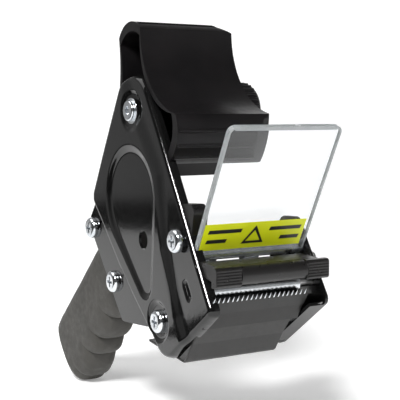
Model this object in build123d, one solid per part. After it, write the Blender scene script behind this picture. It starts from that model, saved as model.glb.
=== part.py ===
from build123d import *
import math
import os

# Pistol-grip packing tape dispenser for 48 mm tape on a 76 mm core.
# +X runs along the hub axle from the big side plate to the tension knob,
# -Y is the nose end where the tape leaves, +Z is up.
# The origin is on the hub axle, mid-way along the hub. Millimetres.

# --- driving dimensions -------------------------------------------------
TAPE_WIDTH = 48.0
CORE_RADIUS = 38.0
SHEET = 1.4
PLATE_FACE = -26.0
PLATE_RIM = 2.6
DISH = 1.0
EGG_DEPTH = 1.0
STRIP_STEP = 1.8
RIGHT_FACE = 30.0
SCREW_HOLE = 2.5
SHANK = 2.4
HEAD_RADIUS = 4.8
HEAD_HEIGHT = 2.6
RUN = 0.05
GAP = 0.35

PLATE_BACK = PLATE_FACE + SHEET
DISH_BACK = PLATE_BACK + DISH
RIM_BACK = PLATE_FACE + PLATE_RIM
STRIP_FACE = PLATE_FACE + STRIP_STEP
STRIP_BACK = STRIP_FACE + SHEET
RIGHT_BACK = RIGHT_FACE - SHEET

# Points in the side view, as (y, z).
HUB = (0.0, 0.0)
PLATE_CORNERS = [
    ((0.0, 0.9), 14.3),
    ((33.1, -38.8), 6.0),
    ((3.0, -62.2), 10.0),
    ((-30.4, -89.5), 10.0),
    ((-60.9, -74.9), 3.2),
]
NOSE_CORNER = (-65.5, -75.5)
NOSE_TIP = (-30.0, -102.0)
UPPER_ROD = (-41.0, -50.5)
LOWER_ROD = (-24.6, -85.4)
HANDLE_SCREWS = [(42.0, -53.8), (19.5, -75.6)]
HANG_HOLE = (-10.0, -53.6)
SHIELD_PIN = (-46.6, -56.6)
SHIELD_TOP = (-73.5, -5.0)
SHIELD_FOOT = (-48.0, -54.5)
GUARD_PIN = (-52.2, -59.9)
FRONT_ROLLER = (-54.0, -69.0)
GUIDE_ROLLER = (-41.0, -67.0)
BLADE_EDGE = (-62.0, -71.8)
PRESS_PLATE_FOOT = (-55.4, -83.4)

HUB_LEFT = RIM_BACK + GAP
HUB_RIGHT = HUB_LEFT + 44.8
NOSE_LEFT = RIM_BACK + GAP
NOSE_RIGHT = 21.6
AXLE_RADIUS = 5.0
STUD_RADIUS = 4.0
WEB_X = (9.0, 11.5)
KNOB_X = (25.6, 33.4)
KNOB_RADIUS = 12.6
PIN_RADIUS = 1.5
HANG_HOLE_RADIUS = 4.0
TAB_CENTRE = (-46.5, -69.5)
TAB_GROOVE = 0.7


# --- helpers --------------------------------------------------------------
def unit(a, b):
    """Unit vector from a to b in the side view."""
    length = math.dist(a, b)
    return ((b[0] - a[0]) / length, (b[1] - a[1]) / length)


def along(point, direction, distance):
    return (point[0] + direction[0] * distance, point[1] + direction[1] * distance)


def side(shape, x0, x1):
    """Extrude a flat side-view sketch from x0 to x1."""
    return extrude(Location((x0, 0, 0)) * (Plane.YZ * shape), x1 - x0)


def rounded(points, radii):
    """Closed outline with its own fillet radius at each corner."""
    outline = FilletPolyline(*points, radius=radii, close=True)
    return make_face(outline)


def disc(centre, radius):
    return Pos(*centre) * Circle(radius)


def rod(centre, radius, x0, x1):
    return side(disc(centre, radius), x0, x1)


def tube(centre, outer, inner, x0, x1):
    return rod(centre, outer, x0, x1) - rod(centre, inner, x0, x1)


def slot(centre, length, width, angle):
    return Pos(*centre) * Rot(0, 0, angle) * SlotOverall(length, width)


def sheet_run(points, thickness, x0, x1):
    """Bent sheet: a side-view centre line thickened both ways."""
    line = Polyline(*points) if len(points) == 2 else FilletPolyline(*points, radius=thickness * 1.5)
    return side(trace(line, line_width=thickness), x0, x1)


def save(shape, node):
    shape.label = node
    export_step(shape, os.path.join("parts", node + ".step"))


# --- side plates ------------------------------------------------------------
def egg(top_radius, foot_radius):
    """Egg outline of the pressing in the middle of the plate."""
    head = disc((0.6, -37.2), top_radius)
    foot = disc((-13.0, -72.0), foot_radius)
    return make_hull(head.edges() + foot.edges())


def plate_outline(inset):
    """Raised face of the big plate: a taut line round its corner discs."""
    rims = [disc(centre, radius - inset).edge() for centre, radius in PLATE_CORNERS]
    return make_hull(rims)


def side_plate():
    """Big pressed side plate: a shallow pan with dished screw seats, an egg
    pressing and a lower strip along the back that carries the handle."""
    pan = side(plate_outline(0), PLATE_FACE, RIM_BACK)
    pan = fillet(pan.faces().sort_by(Axis.X)[0].edges(), 1.3)
    pan -= side(plate_outline(SHEET), PLATE_BACK, RIM_BACK)
    strip = rounded(
        [(37.0, -33.0), (47.6, -53.2), (11.8, -92.2), (-13.0, -90.6), (-3.0, -78.0), (26.0, -50.0)],
        [1, 5, 3.5, 2, 2, 2],
    )
    pan += side(strip, STRIP_FACE, STRIP_BACK)
    for centre in (HUB, LOWER_ROD):
        pan += rod(centre, 9.6, PLATE_BACK, DISH_BACK)
        seat = Location((PLATE_FACE, 0, 0)) * (Plane.YZ * disc(centre, 8.8))
        pan -= extrude(seat, DISH, taper=25)
    pan += side(egg(24.4, 7.6), PLATE_BACK, PLATE_BACK + 0.8)
    rim = Location((PLATE_FACE, 0, 0)) * (Plane.YZ * egg(23.4, 6.6))
    floor = Location((PLATE_FACE + EGG_DEPTH, 0, 0)) * (Plane.YZ * egg(19.2, 3.4))
    pan -= loft([rim, floor])
    for centre in (HUB, UPPER_ROD, LOWER_ROD, *HANDLE_SCREWS):
        pan -= rod(centre, SCREW_HOLE, PLATE_FACE - 1, STRIP_BACK + 4)
    pan -= rod(HANG_HOLE, HANG_HOLE_RADIUS, PLATE_FACE - 1, STRIP_BACK + 1)
    pan -= rod(GUARD_PIN, PIN_RADIUS, PLATE_BACK, STRIP_BACK + 1)
    tab = slot(TAB_CENTRE, 7.6, 3.0, 58) - slot(TAB_CENTRE, 6.2, 1.6, 58)
    pan -= side(tab, PLATE_FACE - 1, PLATE_FACE + TAB_GROOVE)
    for y, z in HANDLE_SCREWS:
        pan -= side(slot((y - 7.0, z + 2.2), 6.0, 1.6, 128), PLATE_FACE - 1, STRIP_BACK + 1)
    return pan


def right_side_plate():
    """Short plate on the far side of the nose, with a return flange along
    its lower front edge."""
    outline = [(-44.0, -43.0), NOSE_CORNER, NOSE_TIP, (-16.0, -86.0), (-32.0, -43.6)]
    plate = side(rounded(outline, [4, 3, 8, 6, 5]), RIGHT_BACK, RIGHT_FACE)
    down = unit(NOSE_CORNER, NOSE_TIP)
    inward = (-down[1], down[0])
    start = along(along(NOSE_CORNER, down, 3.0), inward, SHEET / 2)
    end = along(along(NOSE_TIP, down, -9.0), inward, SHEET / 2)
    plate += side(trace(Line(start, end), line_width=SHEET), NOSE_RIGHT + GAP, RIGHT_FACE)
    for centre in (UPPER_ROD, LOWER_ROD):
        plate -= rod(centre, SCREW_HOLE, RIGHT_BACK - 1, RIGHT_FACE + 1)
    for centre, radius in ((SHIELD_PIN, PIN_RADIUS), (GUARD_PIN, PIN_RADIUS), (FRONT_ROLLER, 2.0)):
        plate -= rod(centre, radius, RIGHT_BACK - 1, RIGHT_FACE + 1)
    plate -= rod(GUIDE_ROLLER, 2.0, RIGHT_BACK - 1, RIGHT_FACE + 1)
    return plate


def cross_rod(centre):
    """Round spacer rod tapped at both ends."""
    left = DISH_BACK if centre == LOWER_ROD else PLATE_BACK
    bar = rod(centre, 4.5, left, RIGHT_BACK)
    return bar - rod(centre, SHANK, left, left + 14) - rod(centre, SHANK, RIGHT_BACK - 14, RIGHT_BACK)


def pan_screw(centre, face_x, reach, toward=1):
    """Cross-recess pan-head screw with its head outside face_x."""
    head = Cylinder(HEAD_RADIUS, HEAD_HEIGHT, align=(Align.CENTER, Align.CENTER, Align.MIN))
    head = fillet(head.edges().sort_by(Axis.Z)[-1], 1.7)
    for turn in (0, 90):
        arm = Pos(0, 0, HEAD_HEIGHT) * Rot(0, 0, turn) * Box(4.6, 1.1, 2.6)
        head -= arm
    shank = Cylinder(SHANK - RUN, reach, align=(Align.CENTER, Align.CENTER, Align.MAX))
    screw = Rot(0, -90 * toward, 0) * (head + shank)
    return Location((face_x, *centre)) * screw


def socket_screw(face_x, reach):
    """Low round-headed screw on the hub axis with a hexagon socket."""
    head = Cylinder(4.4, 1.7, align=(Align.CENTER, Align.CENTER, Align.MIN))
    head = fillet(head.edges().sort_by(Axis.Z)[-1], 0.8)
    head -= Pos(0, 0, 0.5) * extrude(RegularPolygon(1.9, 6), 2.0)
    shank = Cylinder(SHANK - RUN, reach, align=(Align.CENTER, Align.CENTER, Align.MAX))
    return Location((face_x, *HUB)) * Rot(0, -90, 0) * (head + shank)


def group(shapes):
    return Compound(children=list(shapes))


# --- handle -------------------------------------------------------------------
GRIP_HALF = 10.4
HANDLE_X = STRIP_BACK + GRIP_HALF - 0.5
GRIP_START = (31.0, -69.5)
GRIP_END = (84.5, -120.5)
TANG_X = (HANDLE_X - 3.5, HANDLE_X + 3.5)


def grip_section(reach, front, back, half):
    """Round-cornered section of the grip at a distance down its axis."""
    axis = unit(GRIP_START, GRIP_END)
    centre = along(GRIP_START, axis, reach)
    normal = (-axis[1], axis[0])
    middle = along(centre, normal, (back - front) / 2)
    plane = Plane(
        origin=(HANDLE_X, *middle),
        x_dir=(1, 0, 0),
        z_dir=(0, axis[0], axis[1]),
    )
    return plane * RectangleRounded(2 * half, front + back, half * 0.72)


def handle_grip():
    """Moulded grip: soft-cornered sections down a slanted axis, waisted
    between three finger swells and flattened where it meets the plate."""
    sections = [
        grip_section(-14, 9.0, 11.0, GRIP_HALF),
        grip_section(-2, 16.0, 14.5, GRIP_HALF),
        grip_section(12, 19.4, 15.5, GRIP_HALF),
        grip_section(30, 19.6, 16.0, GRIP_HALF),
        grip_section(38.5, 16.8, 16.4, GRIP_HALF),
        grip_section(45, 19.4, 16.8, GRIP_HALF),
        grip_section(51.3, 17.0, 17.0, GRIP_HALF),
        grip_section(60, 20.4, 17.4, GRIP_HALF),
        grip_section(71, 20.0, 17.6, GRIP_HALF - 0.2),
        grip_section(75, 18.6, 16.6, GRIP_HALF - 1.0),
        grip_section(76.5, 15.8, 14.0, GRIP_HALF - 3.0),
    ]
    grip = loft(sections, ruled=True)
    beyond = Box(20, 200, 200, align=(Align.MAX, Align.CENTER, Align.CENTER))
    grip -= Location((STRIP_BACK, 40, -90)) * beyond
    for centre in HANDLE_SCREWS:
        grip -= rod(centre, 5.0, STRIP_BACK - 1, TANG_X[1])
    return grip - side(tang_outline(), *TANG_X)


def tang_outline():
    """Tongue in the side view, from the two screws down inside the grip."""
    axis = unit(GRIP_START, GRIP_END)
    normal = (-axis[1], axis[0])
    neck = along(GRIP_START, axis, 55.0)
    corners = [
        (41.0, -60.0),
        along(neck, normal, 7.0),
        along(neck, normal, -7.0),
        (19.0, -80.5),
        (16.0, -75.5),
        (36.0, -54.0),
    ]
    return rounded(corners, [5, 4, 4, 3, 3, 4])


def handle_tang():
    """Moulded tongue that the grip is formed over, with two bosses that the
    handle screws pull against the plate's lower strip."""
    tang = side(tang_outline(), *TANG_X)
    for centre in HANDLE_SCREWS:
        tang += rod(centre, 5.0, STRIP_BACK, TANG_X[1])
    for centre in HANDLE_SCREWS:
        tang -= rod(centre, SHANK, STRIP_BACK, STRIP_BACK + 11.0)
    return tang


# --- hub, axle, brake and knob ----------------------------------------------------
# Each pad of the hub: angle up from the nose side, crown radius, corner
# radius and half angle. The first two grip the core, the last is relieved.
PADS = [(-20.0, 37.6, 34.5, 18.0), (100.0, 38.0, 34.8, 17.0), (232.0, 33.4, 30.6, 19.0)]
WAIST = 17.0
PAD_WALL = 4.2
FLANK_WALL = 2.4
RIB_OFFSETS = (7.5, -1.5, -10.5)


def lobe_point(radius, degrees):
    """Side-view point at an angle measured from the nose side up."""
    a = math.radians(degrees)
    return (-radius * math.cos(a), radius * math.sin(a))


def hub_outline(pad_inset, flank_inset):
    """Three round pads joined by deep concave flanks."""
    edges = []
    for pad, following in zip(PADS, PADS[1:] + PADS[:1]):
        angle, crown, corner, half = pad
        corner -= flank_inset * 1.4
        onward_angle = following[0] + (360 if following[0] < angle else 0)
        start = lobe_point(corner, angle - half)
        end = lobe_point(corner, angle + half)
        onward = lobe_point(following[2] - flank_inset * 1.4, onward_angle - following[3])
        middle = (angle + half + onward_angle - following[3]) / 2
        edges.append(ThreePointArc(start, lobe_point(crown - pad_inset, angle), end))
        edges.append(ThreePointArc(end, lobe_point(WAIST - flank_inset, middle), onward))
    return make_face(edges)


def hub():
    """Open-ended core holder with ribbed pads, a web and a bearing sleeve."""
    shell = side(hub_outline(0, 0), HUB_LEFT, HUB_RIGHT)
    for angle, crown, corner, half in PADS[:2]:
        for offset in RIB_OFFSETS:
            fall = (crown - corner) * (offset / half) ** 2
            foot = lobe_point(crown - fall - 0.7, angle + offset)
            shell += rod(foot, 1.1, HUB_LEFT + 1.0, HUB_RIGHT)
    lead_in = Polyline(
        (HUB_LEFT, 0),
        (HUB_LEFT, CORE_RADIUS),
        (HUB_RIGHT - 10, CORE_RADIUS),
        (HUB_RIGHT, CORE_RADIUS - 4.0),
        (HUB_RIGHT, 0),
        close=True,
    )
    shell &= revolve(Plane.XZ * make_face(lead_in), Axis.X)
    hollow = hub_outline(PAD_WALL, FLANK_WALL)
    shell -= side(hollow, HUB_LEFT - 1, WEB_X[0]) + side(hollow, WEB_X[1], HUB_RIGHT + 1)
    shell += rod(HUB, 9.0, HUB_LEFT + 1.5, WEB_X[1])
    return shell - rod(HUB, 7.0, HUB_LEFT - 1, HUB_RIGHT + 1)


def brake_spring():
    """Compression spring on the stud, drawn as its closed coil stack."""
    turns = 5
    wire = 0.8
    start = WEB_X[1] + 2.4
    pitch = (KNOB_X[0] - 1.6 - start - 2 * wire) / (turns - 1)
    coils = []
    for turn in range(turns):
        ring = Torus(6.4, wire, align=(Align.CENTER, Align.CENTER, Align.CENTER))
        coils.append(Location((start + wire + pitch * turn, 0, 0)) * Rot(0, 90, 0) * ring)
    return group(coils)


def hub_axle():
    """Shouldered axle, flanged against the plate, with a threaded stud end."""
    body = rod(HUB, AXLE_RADIUS, DISH_BACK, WEB_X[1] + 0.6)
    body += rod(HUB, STUD_RADIUS, WEB_X[1], KNOB_X[1] - 3.0)
    return body - rod(HUB, SHANK, PLATE_BACK, PLATE_BACK + 16)


def tension_knob():
    """Round knob with moulded grip ribs and a blind threaded core."""
    knob = rod(HUB, KNOB_RADIUS - 0.7, *KNOB_X)
    knob = fillet(knob.faces().sort_by(Axis.X)[-1].edges(), 2.4)
    ribs = 28
    for index in range(ribs):
        foot = lobe_point(KNOB_RADIUS - 0.8, 360 / ribs * index)
        knob += rod(foot, 0.8, KNOB_X[0], KNOB_X[1] - 2.2)
    return knob - rod(HUB, 6.4, KNOB_X[0] - 1, KNOB_X[1] - 2.0)


# --- nose ----------------------------------------------------------------------
def roller(centre, radius, bore, x0, x1):
    body = rod(centre, radius, x0, x1)
    body = fillet(body.edges(), 0.5)
    return body - rod(centre, bore, x0 - 1, x1 + 1)


def guide_cheek():
    """Moulded cheek on the upper rod that keeps the tape off the plate."""
    outline = [(-34.5, -36.5), (-50.0, -35.6), (-47.4, -49.5), (-46.2, -53.0), (-41.0, -56.6), (-34.5, -56.6)]
    cheek = side(rounded(outline, [2, 3, 4, 2, 3, 2]), RIM_BACK + 0.1, RIM_BACK + 6.0)
    return cheek - rod(UPPER_ROD, 4.5, PLATE_BACK - 1, PLATE_BACK + 9)


def blade():
    """Serrated steel blade: a strip with one tooth per pitch."""
    down = unit(BLADE_EDGE, PRESS_PLATE_FOOT)
    out = (down[1], -down[0])
    pitch = 2.1
    count = int((NOSE_RIGHT - NOSE_LEFT) / pitch)
    left = (NOSE_LEFT + NOSE_RIGHT - count * pitch) / 2
    points = [(left, -6.0)]
    for tooth in range(count):
        points.append((left + tooth * pitch, 0.0))
        points.append((left + (tooth + 0.5) * pitch, 2.2))
    points += [(left + count * pitch, 0.0), (left + count * pitch, -6.0)]
    plane = Plane(
        origin=(0, *along(BLADE_EDGE, out, 0.0)),
        x_dir=(1, 0, 0),
        z_dir=(0, *out),
    )
    return extrude(plane * make_face(Polyline(*points, close=True)), 0.6)


def press_plate():
    """Flat plate under the blade that carries it, with a folded top edge."""
    down = unit(BLADE_EDGE, PRESS_PLATE_FOOT)
    out = (down[1], -down[0])
    top = along(along(BLADE_EDGE, down, 1.0), out, -0.7)
    foot = along(PRESS_PLATE_FOOT, out, -0.7)
    return sheet_run([top, foot], 1.2, NOSE_LEFT, NOSE_RIGHT)


SEAT_DOWN = unit(BLADE_EDGE, PRESS_PLATE_FOOT)
SEAT_IN = (-SEAT_DOWN[1], SEAT_DOWN[0])
SWING_PIVOT = along(PRESS_PLATE_FOOT, SEAT_IN, 2.4)


def smoothing_plate():
    """Spring sheet that wipes the tape down: its top edge is tucked behind
    the press plate and its foot is curled under."""
    tuck = along(SWING_PIVOT, SEAT_DOWN, -3.0)
    knee = (-46.8, -90.4)
    heel = (-41.0, -99.2)
    toe = (-10.0, -96.4)
    line = FilletPolyline(tuck, SWING_PIVOT, knee, heel, toe, radius=3.0)
    return side(trace(line, line_width=1.0), NOSE_LEFT + 0.5, NOSE_RIGHT - 1.4)


def guard_bar():
    """Spring-loaded bar that holds the tape on the roller: a top plate, a
    half-round front and two ends that run back to the pivot."""
    top = sheet_run([(-54.8, -58.1), (-66.0, -58.4)], 1.8, NOSE_LEFT, 23.4)
    front = rod((-66.0, -61.4), 3.8, -14.0, 16.0)
    for x0 in (NOSE_LEFT, 20.6):
        arm = rounded(
            [(-50.1, -62.0), (-50.1, -58.2), (-54.0, -57.2), (-66.0, -57.5), (-66.0, -64.6), (-55.0, -62.2)],
            [1.6, 1.5, 1, 1, 1, 3],
        )
        top += side(arm, x0, x0 + 2.8)
    bar = top + front + side(rounded([(-62.5, -64.8), (-62.5, -58), (-66, -58), (-66, -64.8)], [1, 1, 1, 1]), -22, 22)
    return bar - rod(GUARD_PIN, PIN_RADIUS + RUN, -24, 24)


def guard_grips():
    """Ribbed thumb pads on both ends of the bar."""
    pads = []
    for x0, x1 in ((-25.4, -14.05), (16.05, 26.4)):
        pad = side(rounded([(-66.05, -65.3), (-66.05, -57.5), (-69.4, -57.5), (-69.4, -65.3)], [0.5, 0.5, 1.4, 1.4]), x0, x1)
        for rib in range(6):
            pad += rod((-69.3, -58.7 - 1.1 * rib), 0.42, x0 + 0.3, x1 - 0.3)
        pads.append(pad)
    return group(pads)


def shield_slab(low, high, thickness, x0, x1, lift=0.0):
    up = unit(SHIELD_FOOT, SHIELD_TOP)
    out = (-up[1], up[0])
    start = along(along(SHIELD_FOOT, up, low), out, lift + thickness / 2)
    end = along(along(SHIELD_FOOT, up, high), out, lift + thickness / 2)
    return side(trace(Line(start, end), line_width=thickness), x0, x1)


SHIELD_LEFT = NOSE_LEFT
SHIELD_RIGHT = 28.0
SHIELD_HEIGHT = 55.7
SHIELD_SHEET = 2.0


def clear_shield():
    shield = shield_slab(0, SHIELD_HEIGHT, SHIELD_SHEET, SHIELD_LEFT, SHIELD_RIGHT)
    corners = shield.edges().filter_by(lambda e: abs(e.length - SHIELD_SHEET) < 0.01).sort_by(Axis.Z)[-2:]
    return fillet(corners, 3.0)


def shield_label():
    return shield_slab(2.0, 14.0, 0.12, SHIELD_LEFT + 1.0, SHIELD_RIGHT - 3.0, lift=SHIELD_SHEET)


def shield_clamp():
    """Bright channel under the shield with two knuckles round the pin."""
    up = unit(SHIELD_FOOT, SHIELD_TOP)
    out = (-up[1], up[0])
    base = along(SHIELD_FOOT, up, -0.7)
    bar = side(trace(Line(along(base, out, -0.9), along(base, out, 2.9)), line_width=1.4), SHIELD_LEFT, SHIELD_RIGHT)
    lip = shield_slab(-0.7, 3.4, 0.8, SHIELD_LEFT, SHIELD_RIGHT, lift=-0.8)
    bar += lip
    bar -= rod(SHIELD_PIN, 2.5, -30, 35)
    for x0 in (SHIELD_LEFT, 0.0, SHIELD_RIGHT - 7.0):
        bar += rod(SHIELD_PIN, 2.6, x0, x0 + 7.0)
    return bar - rod(SHIELD_PIN, PIN_RADIUS + RUN, -30, 35) - shield_slab(0, 5, SHIELD_SHEET, -30, 35)


def cross_pin(centre, radius):
    """Plain pin from the big plate's inside face to the far plate, headed."""
    pin = rod(centre, radius, PLATE_BACK, RIGHT_FACE + 0.2)
    return pin + rod(centre, radius + 1.2, RIGHT_FACE, RIGHT_FACE + 1.0)


def torsion_spring(centre, coil, x0, turns=4):
    """Small wound spring on a pin, one ring per turn."""
    wire = 0.35
    rings = []
    for turn in range(turns):
        ring = Torus(coil, wire)
        rings.append(Location((x0 + 1.0 * turn, *centre)) * Rot(0, 90, 0) * ring)
    return group(rings)


def main():
    os.makedirs("parts", exist_ok=True)
    save(side_plate(), "side_plate")
    save(right_side_plate(), "right_side_plate")
    save(cross_rod(UPPER_ROD), "upper_cross_rod")
    save(cross_rod(LOWER_ROD), "lower_cross_rod")
    dish = PLATE_FACE + DISH
    save(socket_screw(dish - 0.5, 12), "hub_screw")
    save(tube(HUB, 5.4, SHANK + 0.1, dish - 0.5, dish), "hub_screw_washer")
    save(pan_screw(UPPER_ROD, PLATE_FACE, 12), "front_rod_screw")
    save(pan_screw(LOWER_ROD, dish, 12), "bottom_rod_screw")
    far = [pan_screw(centre, RIGHT_FACE, 12, -1) for centre in (UPPER_ROD, LOWER_ROD)]
    save(group(far), "far_rod_screws")
    save(group([pan_screw(centre, STRIP_FACE, 12) for centre in HANDLE_SCREWS]), "handle_screws")
    save(handle_grip(), "handle_grip")
    save(handle_tang(), "handle_tang")

    save(hub(), "hub")
    save(tube(HUB, 7.0, AXLE_RADIUS + RUN, HUB_LEFT + 1.5, WEB_X[1]), "hub_bush")
    save(hub_axle(), "hub_axle")
    save(tube(HUB, 8.6, STUD_RADIUS + 0.1, WEB_X[1] + 0.65, WEB_X[1] + 1.4), "friction_washer")
    save(tube(HUB, 7.6, STUD_RADIUS + 0.1, WEB_X[1] + 1.4, WEB_X[1] + 2.4), "spring_washer")
    save(brake_spring(), "brake_spring")
    save(tube(HUB, 7.6, STUD_RADIUS + 0.1, KNOB_X[0] - 1.6, KNOB_X[0] - 0.3), "knob_thrust_washer")
    save(tension_knob(), "tension_knob")
    save(tube(HUB, 6.4, STUD_RADIUS + RUN, KNOB_X[0], KNOB_X[1] - 2.5), "knob_nut")

    save(guide_cheek(), "guide_cheek")
    save(roller(FRONT_ROLLER, 4.6, 2.0 + RUN, -22.6, 20.8), "front_roller")
    save(cross_pin(FRONT_ROLLER, 2.0), "front_roller_axle")
    save(roller(GUIDE_ROLLER, 5.6, 3.4, -16.0, 18.0), "guide_roller")
    save(tube(GUIDE_ROLLER, 3.4, 2.0 + RUN, -17.0, 19.0), "guide_roller_sleeve")
    save(cross_pin(GUIDE_ROLLER, 2.0), "guide_roller_axle")
    save(blade(), "blade")
    save(press_plate(), "press_plate")
    save(smoothing_plate(), "smoothing_plate")
    save(guard_bar(), "guard_bar")
    save(guard_grips(), "guard_grips")
    save(cross_pin(GUARD_PIN, PIN_RADIUS), "guard_pin")
    save(torsion_spring(GUARD_PIN, 1.95, -19.2), "guard_spring")
    save(clear_shield(), "clear_shield")
    save(shield_label(), "shield_label")
    save(shield_clamp(), "shield_clamp")
    save(cross_pin(SHIELD_PIN, PIN_RADIUS), "shield_pin")
    save(torsion_spring(SHIELD_PIN, 1.95, -15.2), "shield_spring")


main()
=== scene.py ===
import math

import bmesh
import bpy
import numpy as np
from mathutils import Matrix, Vector


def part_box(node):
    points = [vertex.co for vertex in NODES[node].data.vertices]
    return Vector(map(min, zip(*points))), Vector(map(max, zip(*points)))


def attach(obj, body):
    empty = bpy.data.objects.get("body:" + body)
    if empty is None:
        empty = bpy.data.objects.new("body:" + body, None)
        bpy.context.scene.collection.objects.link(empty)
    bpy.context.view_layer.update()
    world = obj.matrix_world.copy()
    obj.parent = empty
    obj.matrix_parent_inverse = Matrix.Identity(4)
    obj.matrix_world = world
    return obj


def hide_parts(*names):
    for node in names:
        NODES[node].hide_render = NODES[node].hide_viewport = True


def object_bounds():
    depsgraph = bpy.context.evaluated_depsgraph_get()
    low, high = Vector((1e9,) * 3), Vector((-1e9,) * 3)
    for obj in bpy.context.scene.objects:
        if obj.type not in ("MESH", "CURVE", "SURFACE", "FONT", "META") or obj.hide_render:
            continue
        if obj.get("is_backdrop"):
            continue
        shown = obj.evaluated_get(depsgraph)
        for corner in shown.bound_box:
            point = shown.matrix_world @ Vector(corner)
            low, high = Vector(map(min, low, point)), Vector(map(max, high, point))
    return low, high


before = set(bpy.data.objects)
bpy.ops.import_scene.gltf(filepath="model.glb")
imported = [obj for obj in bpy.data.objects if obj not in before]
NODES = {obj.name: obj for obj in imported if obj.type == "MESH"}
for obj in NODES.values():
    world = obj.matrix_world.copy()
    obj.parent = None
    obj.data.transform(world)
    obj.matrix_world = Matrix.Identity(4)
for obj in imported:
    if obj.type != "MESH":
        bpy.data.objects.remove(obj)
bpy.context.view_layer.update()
MM = 0.001

# Outer face and back edge of the big side plate across the tool, in millimetres.
PLATE_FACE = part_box("side_plate")[0].x / MM
RIM_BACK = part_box("side_plate")[1].x / MM


# --- mesh helpers ------------------------------------------------------------
def mesh_object(name, points, faces, smooth=True):
    """New mesh object from points in millimetres."""
    mesh = bpy.data.meshes.new(name)
    mesh.from_pydata([tuple(c * MM for c in p) for p in points], [], [tuple(f) for f in faces])
    mesh.validate()
    obj = bpy.data.objects.new(name, mesh)
    bpy.context.scene.collection.objects.link(obj)
    work = bmesh.new()
    work.from_mesh(mesh)
    bmesh.ops.recalc_face_normals(work, faces=work.faces)
    work.to_mesh(mesh)
    work.free()
    for polygon in mesh.polygons:
        polygon.use_smooth = smooth
    return obj


def sharpen(obj, degrees=35):
    """Mark edges sharper than the angle, so that flats stay flat."""
    obj.data.set_sharp_from_angle(angle=math.radians(degrees))
    return obj


def rings(name, loops):
    """Skin a row of equal closed loops of points, with fan caps."""
    count = len(loops[0])
    points = [p for loop in loops for p in loop]
    faces = []
    for row in range(len(loops) - 1):
        for k in range(count):
            a = row * count + k
            b = row * count + (k + 1) % count
            faces.append((a, b, b + count, a + count))
    for row in (0, len(loops) - 1):
        loop = loops[row]
        centre = tuple(sum(p[i] for p in loop) / count for i in range(3))
        points.append(centre)
        for k in range(count):
            faces.append((row * count + k, row * count + (k + 1) % count, len(points) - 1))
    return mesh_object(name, points, faces)


def wire(name, path, radius, sides=10):
    """Round wire along a path of points."""
    path = [Vector(p) for p in path]
    loops = []
    side = None
    for i, p in enumerate(path):
        ahead = path[min(i + 1, len(path) - 1)] - path[max(i - 1, 0)]
        ahead.normalize()
        if side is None:
            side = ahead.orthogonal().normalized()
        side = (side - ahead * side.dot(ahead)).normalized()
        up = ahead.cross(side)
        loops.append(
            [
                tuple(p + (side * math.cos(t) + up * math.sin(t)) * radius)
                for t in (2 * math.pi * k / sides for k in range(sides))
            ]
        )
    return rings(name, loops)


STEPS_PER_TURN = 28


def helix(centre, coil, x0, x1, turns):
    """Points of a coil about an axis along X through (y, z) centre."""
    count = int(turns * STEPS_PER_TURN)
    points = []
    for i in range(count + 1):
        share = i / count
        a = 2 * math.pi * turns * share
        points.append((x0 + (x1 - x0) * share, centre[0] + coil * math.cos(a), centre[1] + coil * math.sin(a)))
    return points


# --- materials -----------------------------------------------------------------
def shader(name):
    mat = bpy.data.materials.new(name)
    mat.use_nodes = True
    return mat, mat.node_tree, mat.node_tree.nodes["Principled BSDF"]


def noise(tree, scale, detail=4.0, rough=0.55):
    node = tree.nodes.new("ShaderNodeTexNoise")
    node.inputs["Scale"].default_value = scale
    node.inputs["Detail"].default_value = detail
    node.inputs["Roughness"].default_value = rough
    coords = tree.nodes.get("Coords") or tree.nodes.new("ShaderNodeTexCoord")
    coords.name = "Coords"
    tree.links.new(coords.outputs["Object"], node.inputs["Vector"])
    return node


def ramp(tree, source, low, high, a, b):
    """Map a 0..1 source to colours or greys a..b between low and high."""
    node = tree.nodes.new("ShaderNodeValToRGB")
    node.color_ramp.elements[0].position = low
    node.color_ramp.elements[1].position = high
    node.color_ramp.elements[0].color = (*a, 1)
    node.color_ramp.elements[1].color = (*b, 1)
    tree.links.new(source, node.inputs["Fac"])
    return node.outputs["Color"]


def bump(tree, bsdf, height, strength, distance):
    node = tree.nodes.new("ShaderNodeBump")
    node.inputs["Strength"].default_value = strength
    node.inputs["Distance"].default_value = distance
    tree.links.new(height, node.inputs["Height"])
    tree.links.new(node.outputs["Normal"], bsdf.inputs["Normal"])


def finish_of(name, dark, light, rough, grain, grain_depth, metal=0.0, coat=0.0, specular=0.5, mottle=60):
    """Base finish: mottled colour, uneven roughness and fine grain."""
    mat, tree, bsdf = shader(name)
    broad = noise(tree, mottle, 5)
    tree.links.new(ramp(tree, broad.outputs["Fac"], 0.35, 0.7, dark, light), bsdf.inputs["Base Color"])
    streak = noise(tree, mottle * 6, 3)
    low, high = rough
    tree.links.new(ramp(tree, streak.outputs["Fac"], 0.3, 0.75, (low,) * 3, (high,) * 3), bsdf.inputs["Roughness"])
    fine = noise(tree, grain, 2)
    bump(tree, bsdf, fine.outputs["Fac"], 0.6, grain_depth)
    bsdf.inputs["Metallic"].default_value = metal
    bsdf.inputs["Coat Weight"].default_value = coat
    bsdf.inputs["Coat Roughness"].default_value = 0.06
    bsdf.inputs["Specular IOR Level"].default_value = specular
    return mat


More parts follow.
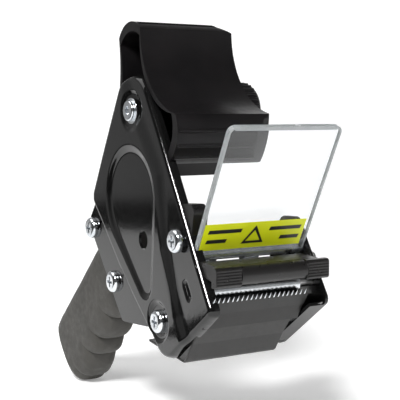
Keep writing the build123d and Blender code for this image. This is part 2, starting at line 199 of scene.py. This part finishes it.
def brushed(name, colour, rough, stretch):
    """Metal with fine drawn lines along one direction."""
    mat, tree, bsdf = shader(name)
    lines = noise(tree, 1.0, 6, 0.7)
    coords = tree.nodes["Coords"]
    mapping = tree.nodes.new("ShaderNodeMapping")
    mapping.inputs["Scale"].default_value = stretch
    tree.links.new(coords.outputs["Object"], mapping.inputs["Vector"])
    tree.links.new(mapping.outputs["Vector"], lines.inputs["Vector"])
    dark = tuple(c * 0.7 for c in colour)
    tree.links.new(ramp(tree, lines.outputs["Fac"], 0.3, 0.7, dark, colour), bsdf.inputs["Base Color"])
    low, high = rough
    tree.links.new(ramp(tree, lines.outputs["Fac"], 0.3, 0.7, (high,) * 3, (low,) * 3), bsdf.inputs["Roughness"])
    bump(tree, bsdf, lines.outputs["Fac"], 0.25, 0.00003)
    bsdf.inputs["Metallic"].default_value = 1.0
    return mat


def clear_plastic():
    """Clear sheet: light passes straight through, with a cool tint, a
    glossy surface and a few fine scuffs."""
    mat, tree, bsdf = shader("clear_polycarbonate")
    scuff = noise(tree, 90, 8, 0.7)
    level = ramp(tree, scuff.outputs["Fac"], 0.45, 0.8, (0.005,) * 3, (0.03,) * 3)
    tree.links.new(level, bsdf.inputs["Roughness"])
    tint = ramp(tree, scuff.outputs["Fac"], 0.2, 0.9, (0.93, 0.95, 0.96), (0.99, 0.995, 1.0))
    tree.links.new(tint, bsdf.inputs["Base Color"])
    bsdf.inputs["Transmission Weight"].default_value = 1.0
    bsdf.inputs["IOR"].default_value = 1.45
    return mat


def painted_edge_highlight():
    """Edge of the clear sheet, painted pale as a highlight where it gathers light."""
    mat, tree, bsdf = shader("clear_edge_painted_highlight")
    cloud = noise(tree, 200, 4)
    # pale milky colour painted on as a highlight of light caught in the edge
    painted_glow = ramp(tree, cloud.outputs["Fac"], 0.3, 0.7, (0.72, 0.75, 0.76), (0.86, 0.88, 0.88))
    tree.links.new(painted_glow, bsdf.inputs["Base Color"])
    level = ramp(tree, cloud.outputs["Fac"], 0.3, 0.7, (0.15,) * 3, (0.3,) * 3)
    tree.links.new(level, bsdf.inputs["Roughness"])
    bsdf.inputs["Transmission Weight"].default_value = 0.35
    bsdf.inputs["IOR"].default_value = 1.2
    return mat


def label_film():
    """Yellow film with a faint print mottle and a satin varnish."""
    return finish_of("label_film", (0.66, 0.72, 0.0), (0.74, 0.80, 0.01), (0.35, 0.5), 2500, 0.00001)


def label_ink():
    return finish_of("label_ink", (0.008, 0.008, 0.01), (0.014, 0.014, 0.016), (0.3, 0.45), 3000, 0.00001)


def grip_plastic():
    """Fine-grained warm grey moulded plastic."""
    return finish_of("grip_plastic", (0.036, 0.034, 0.029), (0.050, 0.047, 0.041), (0.5, 0.68), 1500, 0.0002)


MATS = {
    "enamel": finish_of(
        "gloss_enamel", (0.004, 0.004, 0.004), (0.006, 0.006, 0.006), (0.07, 0.11), 500, 0.00002
    ),
    "hub": finish_of("hub_plastic", (0.005, 0.0045, 0.005), (0.008, 0.007, 0.0075), (0.30, 0.42), 1800, 0.00005, specular=0.25),
    "grip": grip_plastic(),
    "nose": finish_of(
        "nose_paint", (0.010, 0.0095, 0.009), (0.014, 0.0135, 0.0125), (0.34, 0.46), 1600, 0.00005, specular=0.45
    ),
    "guard": finish_of("guard_plastic", (0.007, 0.0065, 0.0065), (0.011, 0.010, 0.0095), (0.26, 0.38), 1500, 0.00005),
    "zinc": finish_of(
        "bright_zinc", (0.62, 0.65, 0.68), (0.82, 0.84, 0.86), (0.12, 0.26), 900, 0.00004, metal=1.0, mottle=240
    ),
    "steel": brushed("drawn_steel", (0.62, 0.62, 0.62), (0.22, 0.4), (30, 900, 900)),
    "blade": finish_of("black_steel", (0.010, 0.010, 0.010), (0.016, 0.016, 0.015), (0.34, 0.46), 1600, 0.00005),
    "brass": brushed("turned_brass", (0.72, 0.52, 0.24), (0.2, 0.4), (900, 60, 60)),
    "rubber": finish_of("roller_rubber", (0.014, 0.014, 0.014), (0.022, 0.022, 0.022), (0.6, 0.8), 900, 0.0001),
    "acetal": finish_of("acetal", (0.62, 0.60, 0.54), (0.72, 0.70, 0.64), (0.35, 0.5), 900, 0.00004),
    "clear": clear_plastic(),
    # pale edge colour of the clear shield, a painted highlight
    "rim": painted_edge_highlight(),
    "film": label_film(),
    "ink": label_ink(),
}
FINISH = {
    "enamel": ("side_plate", "right_side_plate"),
    "hub": ("hub", "tension_knob"),
    "grip": ("handle_grip",),
    "nose": ("press_plate", "smoothing_plate"),
    "guard": ("guard_bar", "guard_grips", "guide_cheek", "handle_tang"),
    "zinc": (
        "hub_screw",
        "hub_screw_washer",
        "front_rod_screw",
        "bottom_rod_screw",
        "far_rod_screws",
        "handle_screws",
        "spring_washer",
        "knob_thrust_washer",
        "front_roller",
        "shield_clamp",
    ),
    "steel": (
        "upper_cross_rod",
        "lower_cross_rod",
        "hub_axle",
        "brake_spring",
        "front_roller_axle",
        "guide_roller_axle",
        "guard_pin",
        "guard_spring",
        "shield_pin",
        "shield_spring",
    ),
    "blade": ("blade",),
    "brass": ("knob_nut",),
    "rubber": ("guide_roller",),
    "acetal": ("hub_bush", "friction_washer", "guide_roller_sleeve"),
    "clear": ("clear_shield",),
    "film": ("shield_label",),
}
# Edge rounding of the CAD pieces, in millimetres; the rest get EDGE.
EDGE = 0.12
EDGES = {
    "right_side_plate": 0.3,
    "hub": 0.3,
    "clear_shield": 0.35,
    "guard_bar": 0.35,
    "press_plate": 0.25,
    "smoothing_plate": 0.25,
    "guide_cheek": 0.5,
    "shield_label": 0.0,
}


def dress_cad_nodes():
    """Material and rounded edges for every CAD node."""
    for finish, names in FINISH.items():
        for name in names:
            obj = NODES[name]
            obj.data.materials.clear()
            obj.data.materials.append(MATS[finish])
            width = EDGES.get(name, EDGE)
            if not width:
                continue
            weld = obj.modifiers.new("weld", "WELD")
            weld.merge_threshold = 0.002 * MM
            bevel = obj.modifiers.new("round", "BEVEL")
            bevel.width = width * MM
            bevel.segments = 2
            bevel.limit_method = "ANGLE"
            bevel.angle_limit = math.radians(38)
            bevel.harden_normals = False
            normal = obj.modifiers.new("normals", "WEIGHTED_NORMAL")
            normal.keep_sharp = False


# --- big side plate -----------------------------------------------------------
PLATE_DISCS = [
    ((0.0, 0.9), 14.3),
    ((33.1, -38.8), 6.0),
    ((3.0, -62.2), 10.0),
    ((-30.4, -89.5), 10.0),
    ((-60.9, -74.9), 3.2),
]
STRIP_DISCS = [((40.6, -51.6), 5.0), ((10.6, -88.5), 3.4), ((-11.5, -88.6), 1.5), ((34.0, -38.0), 1.5)]
EGG_RIM = [((0.6, -37.2), 23.4), ((-13.0, -72.0), 6.6)]
EGG_FLOOR = [((0.6, -37.2), 18.9), ((-13.0, -72.0), 3.2)]
HUB = (0.0, 0.0)
LOWER_ROD = (-24.6, -85.4)
HANG_HOLE = ((-10.0, -53.6), 4.0)
STRIP_STEP = 1.8
TAB_ENDS = ((-47.7, -71.4), (-45.3, -67.6))
SHEET = 1.2
ROLL = 1.5
CELL = 0.62
# Grid extent, and how near the outline a point is moved onto it.
PLATE_SPAN_Y = (-68, 50)
PLATE_SPAN_Z = (-102, 18)
BORDER = 0.22 * CELL
# Depths of the pressed features and of the engraved tab outline.
EGG_DEPTH = 1.0
SEAT_DEPTH = 1.0
FALL_DEPTH = 1.3
FALL_WIDTH = 7.0
TAB_DEPTH = 0.7
SEAT_INNER, SEAT_OUTER = 6.9, 9.0
HANDLE_SCREWS = ((42.0, -53.8), (19.5, -75.6))


def hull_distance(points, discs, directions=360):
    """Signed distance to the taut outline round some discs."""
    angles = np.linspace(0, 2 * math.pi, directions, endpoint=False)
    normals = np.stack([np.cos(angles), np.sin(angles)], 1)
    support = np.max([normals @ np.array(c) + r for c, r in discs], axis=0)
    best = np.full(len(points), -1e9)
    for n, h in zip(normals, support):
        best = np.maximum(best, points @ n - h)
    return best


def capsule_distance(points, a, b, radius):
    a, b = np.array(a), np.array(b)
    span = b - a
    share = np.clip((points - a) @ span / (span @ span), 0, 1)
    return np.linalg.norm(points - a - share[:, None] * span, axis=1) - radius


def ease(value, low, high):
    t = np.clip((value - low) / (high - low), 0, 1)
    return t * t * (3 - 2 * t)


def plate_distance(points):
    """Signed distance to the plate's sheet, its holes and slots cut out."""
    solid = np.minimum(hull_distance(points, PLATE_DISCS), hull_distance(points, STRIP_DISCS))
    centre, radius = HANG_HOLE
    cuts = [np.linalg.norm(points - np.array(centre), axis=1) - radius]
    for y, z in HANDLE_SCREWS:
        cuts.append(capsule_distance(points, (y - 8.6, z + 4.0), (y - 5.6, z + 0.2), 0.8))
    return np.maximum(solid, -np.min(cuts, axis=0))


# Bends of the line where the raised panel ends, as (y, z).
CREASE = [(16, 20), (-22, -27), (-27, -55), (-38, -82), (-48, -98)]


def crease_side(points):
    """Distance in front of the line where the raised panel starts to fall
    away towards the plate's front edge."""
    line = np.array(CREASE)
    best = np.full(len(points), 1e9)
    side = np.zeros(len(points))
    for a, b in zip(line, line[1:]):
        run = b - a
        share = np.clip((points - a) @ run / (run @ run), 0, 1)
        off = points - a - share[:, None] * run
        reach = np.linalg.norm(off, axis=1)
        turn = run[0] * off[:, 1] - run[1] * off[:, 0]
        closer = reach < best
        side = np.where(closer, np.sign(turn), side)
        best = np.minimum(best, reach)
    return -best * side


def plate_level(points):
    """How far inward the outer face lies from the plate's highest level."""
    kite = hull_distance(points, PLATE_DISCS)
    level = STRIP_STEP * ease(kite, -1.6, 0.5)
    egg_out = hull_distance(points, EGG_RIM)
    egg_in = hull_distance(points, EGG_FLOOR)
    share = egg_out / np.minimum(egg_out - egg_in, -1e-6)
    level = level + EGG_DEPTH * ease(np.where(egg_out < 0, np.clip(share, 0, 1), 0), 0.0, 0.9)
    for centre in (HUB, LOWER_ROD):
        reach = np.linalg.norm(points - np.array(centre), axis=1)
        level = level + SEAT_DEPTH * (1 - ease(reach, SEAT_INNER, SEAT_OUTER))
    level = level + FALL_DEPTH * ease(crease_side(points), -1.0, FALL_WIDTH)
    groove = np.abs(capsule_distance(points, *TAB_ENDS, 1.15))
    level = level + TAB_DEPTH * (1 - ease(groove, 0.35, 0.75))
    strip = hull_distance(points, STRIP_DISCS)
    free_edge = ease(strip, -0.5, 2.5)
    depth = np.clip(kite + ROLL, 0, ROLL)
    roll = ROLL - np.sqrt(np.maximum(ROLL**2 - depth**2, 0))
    return level + roll * free_edge * (kite <= 0.3)


def drawn_to_outline(grid):
    """Move the points near or outside the outline straight onto it."""
    nudge = 0.02
    distance = plate_distance(grid)
    gy = plate_distance(grid + (nudge, 0)) - distance
    gz = plate_distance(grid + (0, nudge)) - distance
    gradient = np.stack([gy, gz], 1) / nudge
    gradient /= np.maximum(np.linalg.norm(gradient, axis=1, keepdims=True), 0.3)
    shift = np.where(distance > -BORDER, distance, 0)
    return grid - gradient * np.clip(shift, -CELL, 1.6 * CELL)[:, None]


def side_plate_skin():
    """Pressed sheet on a fine grid, its border moved onto the outline."""
    ys = np.arange(*PLATE_SPAN_Y, CELL)
    zs = np.arange(*PLATE_SPAN_Z, CELL)
    grid = np.array([(y, z) for y in ys for z in zs])
    inside = plate_distance(grid) < -BORDER
    for _ in range(2):
        grid = drawn_to_outline(grid)
    rows = len(zs)
    cells = []
    for i in range(len(ys) - 1):
        for j in range(rows - 1):
            corners = [i * rows + j, (i + 1) * rows + j, (i + 1) * rows + j + 1, i * rows + j + 1]
            if any(inside[c] for c in corners):
                cells.append(corners)
    used = sorted({c for cell in cells for c in cell})
    index = {c: k for k, c in enumerate(used)}
    flat = grid[used]
    level = plate_level(flat)
    kite = hull_distance(flat, PLATE_DISCS)
    strip = hull_distance(flat, STRIP_DISCS)
    rim = ease(kite, -1.3, -0.4) * ease(strip, 0.0, 1.5)
    back = np.maximum(PLATE_FACE + level + SHEET, (RIM_BACK - PLATE_FACE) * rim + PLATE_FACE)
    outer = [(PLATE_FACE + lv, y, z) for lv, (y, z) in zip(level, flat)]
    inner = [(x, y, z) for x, (y, z) in zip(back, flat)]
    offset = len(outer)
    faces = [[index[c] for c in cell] for cell in cells]
    edge_use = {}
    for face in faces:
        for a, b in zip(face, face[1:] + face[:1]):
            edge_use[(a, b)] = True
    walls = [(b, a, a + offset, b + offset) for a, b in edge_use if (b, a) not in edge_use]
    faces += [[c + offset for c in reversed(face)] for face in faces] + walls
    skin = mesh_object("side_plate_pressing", outer + inner, faces)
    work = bmesh.new()
    work.from_mesh(skin.data)
    bmesh.ops.remove_doubles(work, verts=work.verts, dist=0.02 * MM)
    bmesh.ops.dissolve_degenerate(work, edges=work.edges, dist=0.02 * MM)
    work.to_mesh(skin.data)
    work.free()
    for polygon in skin.data.polygons:
        polygon.use_smooth = True
    sharpen(skin, 50)
    skin.data.materials.append(MATS["enamel"])
    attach(skin, "frame")
    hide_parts("side_plate")


# --- handle -----------------------------------------------------------------------
GRIP_START = Vector((0.0, 31.0, -69.5))
GRIP_END = Vector((0.0, 84.5, -120.5))
# Distance down the grip, reach to the front, reach to the back, half width.
GRIP_KEYS = [
    (-14, 9.0, 11.0, 10.4),
    (-8, 12.5, 12.6, 10.4),
    (0, 15.4, 14.6, 10.4),
    (12, 15.8, 15.5, 10.4),
    (30, 15.9, 16.0, 10.4),
    (51, 16.4, 16.9, 10.4),
    (60, 17.4, 17.3, 10.4),
    (67, 19.0, 17.6, 10.4),
    (72, 19.4, 17.4, 10.3),
    (75, 18.0, 16.2, 9.3),
    (76.4, 15.6, 13.8, 7.4),
    (76.5, 14.0, 12.0, 5.8),
]
NOTCHES = (4.0, 21.0, 38.5, 51.3, 68.0)
SWELL = 3.4
GRIP_CENTRE = 9.9
GRIP_ROWS = 230
GRIP_AROUND = 120


def blend_keys(keys, s):
    """Smooth value between the rows of a table whose first column is s."""
    for (s0, *low), (s1, *high) in zip(keys, keys[1:]):
        if s <= s1:
            t = max(0.0, (s - s0) / (s1 - s0))
            t = t * t * (3 - 2 * t)
            return [a + (b - a) * t for a, b in zip(low, high)]
    return list(keys[-1][1:])


def finger_swell(s):
    """Bulge of the finger side, 0 at a notch and 1 mid-way between two."""
    for low, high in zip(NOTCHES, NOTCHES[1:]):
        if low < s < high:
            return math.sin(math.pi * (s - low) / (high - low)) ** 0.62
    return 0.0


def handle():
    """Grip as fine rings: three finger swells parted by sharp notches on the
    front, a straight back, soft corners and a flat-ended butt."""
    axis = (GRIP_END - GRIP_START).normalized()
    normal = Vector((0.0, -axis.z, axis.y))
    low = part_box("handle_grip")[0].x / MM
    centre_x = low + GRIP_CENTRE
    loops = []
    first, last = GRIP_KEYS[0][0], GRIP_KEYS[-1][0]
    reach = [first + (last - first) * (1 - (1 - row / GRIP_ROWS) ** 1.35) for row in range(GRIP_ROWS + 1)]
    for s in reach:
        front, back, half = blend_keys(GRIP_KEYS, s)
        bulge = SWELL * finger_swell(s)
        loop = []
        for k in range(GRIP_AROUND):
            t = 2 * math.pi * k / GRIP_AROUND
            c, d = math.cos(t), math.sin(t)
            across = half * math.copysign(abs(c) ** 0.62, c)
            if d < 0:
                depth = front * math.copysign(abs(d) ** 0.7, d) - bulge * min(1.0, -d * 1.15) ** 2.2
            else:
                depth = back * abs(d) ** 0.62
            x = max(centre_x + across, low)
            point = GRIP_START + axis * s + normal * depth
            loop.append((x, point.y, point.z))
        loops.append(loop)
    grip = rings("moulded_grip", loops)
    sharpen(grip, 50)
    grip.data.materials.append(MATS["grip"])
    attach(grip, "frame")
    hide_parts("handle_grip")


# --- springs -------------------------------------------------------------------
# Coil radius, wire radius and turns of the pin springs and the brake spring.
PIN_COIL, PIN_WIRE, PIN_TURNS = 1.95, 0.33, 4.25
BRAKE_COIL, BRAKE_WIRE, BRAKE_TURNS = 6.4, 0.8, 5.5


def spring(name, node, path, radius):
    coil = wire(name, path, radius)
    coil.data.materials.append(MATS["steel"])
    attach(coil, "frame")
    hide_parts(node)


def node_axis(node):
    """Middle of a node's box in the side view, in millimetres."""
    low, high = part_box(node)
    middle = (low + high) / 2 / MM
    return (middle.y, middle.z)


def torsion_spring(name, node, leg_a, leg_b):
    """Wound torsion spring with two straight legs."""
    low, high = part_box(node)
    x0, x1 = low.x / MM + 0.35, high.x / MM - 0.35
    centre = node_axis(node)
    coil = helix(centre, PIN_COIL, x0, x1, PIN_TURNS)
    first, last = Vector(coil[0]), Vector(coil[-1])
    start = [tuple(first + Vector((0, *leg_a)) * (1 - t / 6)) for t in range(6)]
    end = [tuple(last + Vector((0, *leg_b)) * (t / 6)) for t in range(1, 7)]
    spring(name, node, start + coil + end, PIN_WIRE)


def brake_spring():
    low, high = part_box("brake_spring")
    path = helix(HUB, BRAKE_COIL, low.x / MM + BRAKE_WIRE, high.x / MM - BRAKE_WIRE, BRAKE_TURNS)
    spring("brake_spring_coil", "brake_spring", path, BRAKE_WIRE - 0.02)


# --- blade -----------------------------------------------------------------------
BLADE_EDGE = Vector((0.0, -62.0, -71.8))
PRESS_PLATE_FOOT = Vector((0.0, -55.4, -83.4))
TOOTH_PITCH = 2.1
TOOTH_HEIGHT = 2.2
BLADE_DEPTH = 5.4
BLADE_THICK = 0.6


def toothed_blade():
    """Blackened strip; on each tooth the slanted flank facing the key light gets bright zinc as a painted highlight.
    """
    low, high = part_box("blade")
    left, right = low.x / MM, high.x / MM
    down = (PRESS_PLATE_FOOT - BLADE_EDGE).normalized()
    out = Vector((0.0, down.z, -down.y))
    count = int(round((right - left) / TOOTH_PITCH))
    pitch = (right - left) / count

    def at(x, drop, proud):
        point = BLADE_EDGE + out * proud + down * drop
        return (x, point.y, point.z)

    points, faces, bright = [], [], []

    def face(corners, glint_flank):
        start = len(points)
        points.extend(corners)
        faces.append(tuple(range(start, start + len(corners))))
        bright.append(glint_flank)

    front, back = BLADE_THICK, 0.0
    face([at(left, 0, front), at(left, BLADE_DEPTH, front), at(right, BLADE_DEPTH, front), at(right, 0, front)], False)
    face([at(left, 0, back), at(right, 0, back), at(right, BLADE_DEPTH, back), at(left, BLADE_DEPTH, back)], False)
    face([at(left, BLADE_DEPTH, back), at(right, BLADE_DEPTH, back), at(right, BLADE_DEPTH, front), at(left, BLADE_DEPTH, front)], False)
    for x in (left, right):
        face([at(x, 0, back), at(x, BLADE_DEPTH, back), at(x, BLADE_DEPTH, front), at(x, 0, front)], False)
    for tooth in range(count):
        x0 = left + tooth * pitch
        x1 = x0 + pitch
        xm = (x0 + x1) / 2
        ridge = xm - 0.12 * pitch
        tip = at(xm, -TOOTH_HEIGHT, back)
        root = at(ridge, 0.5, front)
        a, b = at(x0, 0, front), at(x1, 0, front)
        c, d = at(x0, 0, back), at(x1, 0, back)
        # painted highlight: bright zinc on the tooth flanks that face the key light, the other flanks stay black
        face([a, root, tip], True)
        face([root, b, tip], False)
        face([c, a, tip], True)
        face([b, d, tip], False)
        face([d, c, tip], False)
    blade = mesh_object("toothed_blade", points, faces, smooth=False)
    work = bmesh.new()
    work.from_mesh(blade.data)
    bmesh.ops.remove_doubles(work, verts=work.verts, dist=0.001 * MM)
    bmesh.ops.recalc_face_normals(work, faces=work.faces)
    work.to_mesh(blade.data)
    work.free()
    blade.data.materials.append(MATS["blade"])
    blade.data.materials.append(MATS["zinc"])
    # the flanks flagged for the painted highlight take the bright zinc
    for polygon, glint_flank in zip(blade.data.polygons, bright):
        polygon.material_index = 1 if glint_flank else 0
    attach(blade, "frame")
    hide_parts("blade")


# --- shield and label -----------------------------------------------------------
SHIELD_HEIGHT = 55.7
SHIELD_CORNER = 3.0
SHIELD_SHEET = 2.0
LABEL_FILM = 0.14
INK = 0.03


def shield_axes():
    """Foot, up and outward directions of the shield, in millimetres."""
    foot = Vector((0.0, -48.0, -54.5))
    up = (Vector((0.0, -73.5, -5.0)) - foot).normalized()
    return foot, up, Vector((0.0, -up.z, up.y))


def plate_from(name, outline, hole, thickness, lift):
    """Thin raised mark on the shield: outline in (across, up), an optional
    matching inner outline for an open shape."""
    foot, up, out = shield_axes()
    points = []
    for height in (lift, lift + thickness):
        for loop in (outline, hole) if hole else (outline,):
            for x, s in loop:
                points.append(tuple(foot + up * s + out * height + Vector((x, 0, 0))))
    n = len(outline)
    faces = []
    if hole:
        for k in range(n):
            j = (k + 1) % n
            faces.append((k, j, n + j, n + k))
            faces.append((2 * n + k, 3 * n + k, 3 * n + j, 2 * n + j))
            faces.append((k, 2 * n + k, 2 * n + j, j))
            faces.append((n + k, n + j, 3 * n + j, 3 * n + k))
    else:
        faces = [tuple(range(n)), tuple(range(2 * n - 1, n - 1, -1))]
        faces += [(k, n + k, n + (k + 1) % n, (k + 1) % n) for k in range(n)]
    return mesh_object(name, points, faces, smooth=False)


def join(objects, name):
    """One object from several."""
    merged = bmesh.new()
    for obj in objects:
        merged.from_mesh(obj.data)
        bpy.data.objects.remove(obj)
    mesh = bpy.data.meshes.new(name)
    merged.to_mesh(mesh)
    merged.free()
    result = bpy.data.objects.new(name, mesh)
    bpy.context.scene.collection.objects.link(result)
    return result


def label_marks():
    """Generic printed marks on the label: an open triangle between bars."""
    low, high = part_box("shield_label")
    left, right = low.x / MM, high.x / MM
    middle = (left + right) / 2
    film = SHIELD_SHEET + LABEL_FILM
    base, tip = 4.2, 12.4
    triangle = [(middle - 5.2, base), (middle + 5.2, base), (middle, tip)]
    inner = [(middle - 3.4, base + 1.1), (middle + 3.4, base + 1.1), (middle, tip - 2.2)]
    parts = [plate_from("tri", triangle, inner, INK, film)]
    bars = ((9.6, 1.7, 15.0), (5.2, 1.7, 9.0))
    for row, height, length in bars:
        for x0 in (left + 2.0, right - 2.0 - length):
            x1 = x0 + length
            slant = 0.25 * height
            outline = [(x0, row), (x1, row), (x1 + slant, row + height), (x0 + slant, row + height)]
            parts.append(plate_from("bar", outline, None, INK, film))
    marks = join(parts, "label_marks")
    marks.data.materials.append(MATS["ink"])
    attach(marks, "shield")


def shield_edge_highlight():
    """Painted highlight on the shield's polished edge: a pale band along its sides and a thicker
    lip along the top, round the two upper corners."""
    low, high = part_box("clear_shield")
    left, right = low.x / MM, high.x / MM
    foot, up, out = shield_axes()
    top, corner, sheet = SHIELD_HEIGHT, SHIELD_CORNER, SHIELD_SHEET
    path = [(left, 0.0)]
    for k in range(9):
        a = math.pi - math.pi / 2 * k / 8
        path.append((left + corner + corner * math.cos(a), top - corner + corner * math.sin(a)))
    for k in range(9):
        a = math.pi / 2 - math.pi / 2 * k / 8
        path.append((right - corner + corner * math.cos(a), top - corner + corner * math.sin(a)))
    path.append((right, 0.0))
    loops = []
    for i, (x, s) in enumerate(path):
        before = Vector(path[max(i - 1, 0)])
        after = Vector(path[min(i + 1, len(path) - 1)])
        run = (after - before).normalized()
        inward = Vector((run.y, -run.x))
        width = 1.5 if s > top - 0.2 else 0.9
        loop = []
        for depth, height in ((0.03, 0.05), (0.03, sheet - 0.05), (width, sheet - 0.05), (width, 0.05)):
            px, ps = x + inward.x * depth, s + inward.y * depth
            loop.append(tuple(foot + up * ps + out * height + Vector((px, 0, 0))))
        loops.append(loop)
    rim = rings("shield_edge_highlight", loops)
    sharpen(rim, 40)
    # pale band painted along the shield's edge as a highlight
    rim.data.materials.append(MATS["rim"])
    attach(rim, "shield")


# --- stage ----------------------------------------------------------------------
CAMERA_AT = (-0.21116, -0.37557, -0.00006)
CAMERA_AZIMUTH = 30.3
CAMERA_DROP = 5.14
CAMERA_LENS = 89.1
# The room is dark low down behind the big plate, which is what its enamel
# mirrors; DARK_AZIMUTH turns that direction onto +Y.
DARK_AZIMUTH = -30.0
BAND_TOP = (-0.095, -0.085)
WORLD_LEVEL = 0.35
WORLD_ABOVE = 0.08
DIM_FROM = (0.3, 0.7)
SWEEP_LEFT = -0.6
SWEEP_NEAR_LEFT = -0.17


def stage():
    """Pale sweep: a floor that curves up into a backdrop. It stops short on
    the left, where the big plate mirrors its edge against the dark room."""
    floor_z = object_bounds()[0][2]
    rise = 0.3
    profile = [(-2.0, 0.0), (0.07, 0.0), (0.09, 0.0), (0.8, 0.0)]
    for k in range(1, 13):
        a = math.pi / 2 * k / 12
        profile.append((0.8 + rise * math.sin(a), rise * (1 - math.cos(a))))
    profile.append((0.8 + rise, 1.2))
    turn = Matrix.Rotation(math.radians(-CAMERA_AZIMUTH), 4, "Z")
    points = []
    for along, height in profile:
        for across in (SWEEP_NEAR_LEFT if along < 0.08 else SWEEP_LEFT, 2.0):
            p = turn @ Vector((across, along, 0))
            points.append((p.x / MM, p.y / MM, (floor_z + height) / MM))
    faces = [(2 * k, 2 * k + 1, 2 * k + 3, 2 * k + 2) for k in range(len(profile) - 1)]
    sweep = mesh_object("sweep", points, faces)
    mat, tree, bsdf = shader("sweep_paper")
    paper = noise(tree, 3, 2)
    tree.links.new(
        ramp(tree, paper.outputs["Fac"], 0.3, 0.7, (0.93, 0.93, 0.93), (0.95, 0.95, 0.95)), bsdf.inputs["Base Color"]
    )
    bsdf.inputs["Roughness"].default_value = 0.9
    bsdf.inputs["Emission Color"].default_value = (1, 1, 1, 1)
    bsdf.inputs["Emission Strength"].default_value = 0.25
    sweep.data.materials.append(mat)
    sweep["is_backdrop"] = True


def softbox(name, at, aim, size, power, tint=(1, 1, 1)):
    light = bpy.data.lights.new(name, "AREA")
    light.shape = "RECTANGLE"
    light.size, light.size_y = size
    light.energy = power
    light.color = tint
    lamp = bpy.data.objects.new(name, light)
    bpy.context.scene.collection.objects.link(lamp)
    lamp.location = at
    lamp.rotation_euler = (Vector(aim) - Vector(at)).to_track_quat("-Z", "Y").to_euler()


def maths(tree, operation, a, b=None):
    node = tree.nodes.new("ShaderNodeMath")
    node.operation = operation
    for socket, value in zip(node.inputs, (a, b)):
        if value is None:
            continue
        if isinstance(value, (int, float)):
            socket.default_value = value
        else:
            tree.links.new(value, socket)
    return node.outputs["Value"]


def smooth_step(tree, value, low, high, a=0.0, b=1.0):
    node = tree.nodes.new("ShaderNodeMapRange")
    node.interpolation_type = "SMOOTHSTEP"
    for socket, number in zip(("From Min", "From Max", "To Min", "To Max"), (low, high, a, b)):
        node.inputs[socket].default_value = number
    tree.links.new(value, node.inputs["Value"])
    return node.outputs["Result"]


def room():
    """Studio surround: pale all round, dim overhead, with a dark band low
    down behind the big plate."""
    world = bpy.data.worlds.new("studio")
    world.use_nodes = True
    tree = world.node_tree
    back = tree.nodes["Background"]
    coords = tree.nodes.new("ShaderNodeTexCoord")
    turn = tree.nodes.new("ShaderNodeVectorRotate")
    turn.inputs["Axis"].default_value = (0, 0, 1)
    turn.inputs["Angle"].default_value = math.radians(DARK_AZIMUTH)
    tree.links.new(coords.outputs["Generated"], turn.inputs["Vector"])
    split = tree.nodes.new("ShaderNodeSeparateXYZ")
    tree.links.new(turn.outputs["Vector"], split.inputs["Vector"])
    up = split.outputs["Z"]
    level = smooth_step(tree, up, *DIM_FROM, WORLD_LEVEL, WORLD_ABOVE)
    aside = smooth_step(tree, split.outputs["Y"], 0.6, 0.85)
    leftward = smooth_step(tree, maths(tree, "MULTIPLY", split.outputs["X"], -1.0), 0.3, 0.6)
    level = maths(tree, "MULTIPLY", level, maths(tree, "SUBTRACT", 1.0, maths(tree, "MULTIPLY", leftward, 0.85)))
    low = maths(tree, "SUBTRACT", 1.0, smooth_step(tree, up, *BAND_TOP))
    shade = maths(tree, "SUBTRACT", 1.0, maths(tree, "MULTIPLY", maths(tree, "MULTIPLY", aside, low), 0.95))
    tree.links.new(maths(tree, "MULTIPLY", level, shade), back.inputs["Strength"])
    back.inputs["Color"].default_value = (1, 1, 1, 1)
    bpy.context.scene.world = world


def lights():
    centre = (0.0, 0.0, -0.04)
    softbox("key", (-0.75, -0.75, 0.95), centre, (0.3, 0.3), 24)
    softbox("top", (-0.6, 0.45, 1.0), centre, (1.0, 1.0), 6)
    room()
    bpy.context.scene.view_settings.view_transform = "Standard"


def camera():
    data = bpy.data.cameras.new("camera")
    data.lens = CAMERA_LENS
    data.sensor_width = 36
    data.clip_start = 0.01
    eye = bpy.data.objects.new("camera", data)
    bpy.context.scene.collection.objects.link(eye)
    eye.location = CAMERA_AT
    eye.rotation_euler = (math.radians(90 - CAMERA_DROP), 0, math.radians(-CAMERA_AZIMUTH))
    bpy.context.scene.camera = eye


dress_cad_nodes()
side_plate_skin()
handle()
toothed_blade()
torsion_spring("guard_return_spring", "guard_spring", (-5.0, 1.2), (3.0, -3.0))
torsion_spring("shield_return_spring", "shield_spring", (-1.0, 3.0), (3.5, 1.0))
brake_spring()
label_marks()
shield_edge_highlight()
stage()
lights()
camera()
